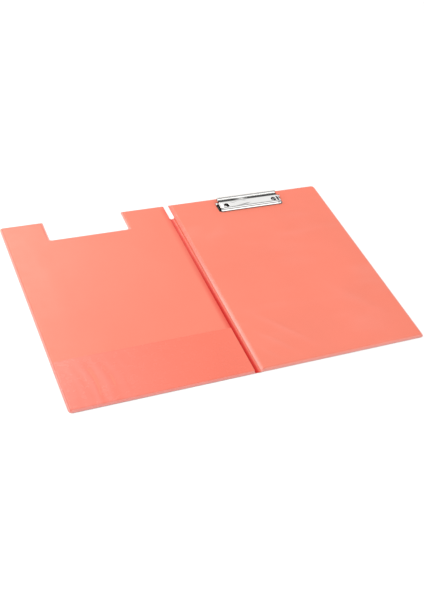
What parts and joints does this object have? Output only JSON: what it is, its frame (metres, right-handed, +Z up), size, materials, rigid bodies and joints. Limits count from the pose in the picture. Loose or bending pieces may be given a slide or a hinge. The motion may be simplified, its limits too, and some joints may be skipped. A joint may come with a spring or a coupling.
{
  "type": "fold-over clipboard",
  "caption": "Film-covered clipboard lying open: back board with a low sprung clip, and a notched cover with an inner pocket on a folding film spine.",
  "frame": {"origin": "on the table, in the middle of the open clipboard", "axes": "+X runs from the cover to the back board, +Y runs up the boards towards the clip, +Z is up"},
  "size_m": [0.473, 0.32, 0.0093],
  "materials": {
    "film": "soft satin plasticised film, fine grain",
    "pocket_film": "soft satin plasticised film, smoother than the cover",
    "greyboard": "matt greyboard",
    "clip_chrome": "bright nickel plating",
    "base_steel": "bright nickel plating",
    "rod_steel": "drawn wire",
    "rivet_steel": "nickel plating",
    "spring_steel": "spring wire"
  },
  "bodies": {
    "board": {"back_core_board": "greyboard", "back_outer_film": "film", "back_inner_film": "film", "clip_base_plate": "base_steel", "clip_rivet_left": "rivet_steel", "clip_rivet_right": "rivet_steel", "clip_washer_left": "rivet_steel", "clip_washer_right": "rivet_steel", "clip_hinge_rod": "rod_steel", "clip_spring_left": "spring_steel", "clip_spring_right": "spring_steel"},
    "spine": {"spine_outer_film": "film", "spine_inner_film": "film"},
    "cover": {"cover_core_board": "greyboard", "cover_outer_film": "film", "cover_inner_film": "film", "cover_pocket_film": "pocket_film"},
    "jaw": {"clip_jaw_plate": "clip_chrome"}
  },
  "joints": [
    {"name": "spine_fold", "type": "hinge", "parent": "board", "child": "spine", "pos_m": [0.0013, 0, 0.0003], "axis": [0, 1, 0], "range_deg": [-90, 90]},
    {"name": "cover_fold", "type": "hinge", "parent": "spine", "child": "cover", "pos_m": [-0.0064, 0, 0.0003], "axis": [0, 1, 0], "range_deg": [-90, 90]},
    {"name": "jaw_hinge", "type": "hinge", "parent": "board", "child": "jaw", "pos_m": [0.119, 0.1434, 0.0054], "axis": [-1, 0, 0], "range_deg": [0, 16.5], "stiffness_Nm_per_rad": 0.3, "springref_deg": -40.11, "deforming": ["clip_spring_left", "clip_spring_right"]}
  ],
  "couplings": [
    {"joint": "cover_fold", "follows": "spine_fold", "ratio": 1}
  ]
}
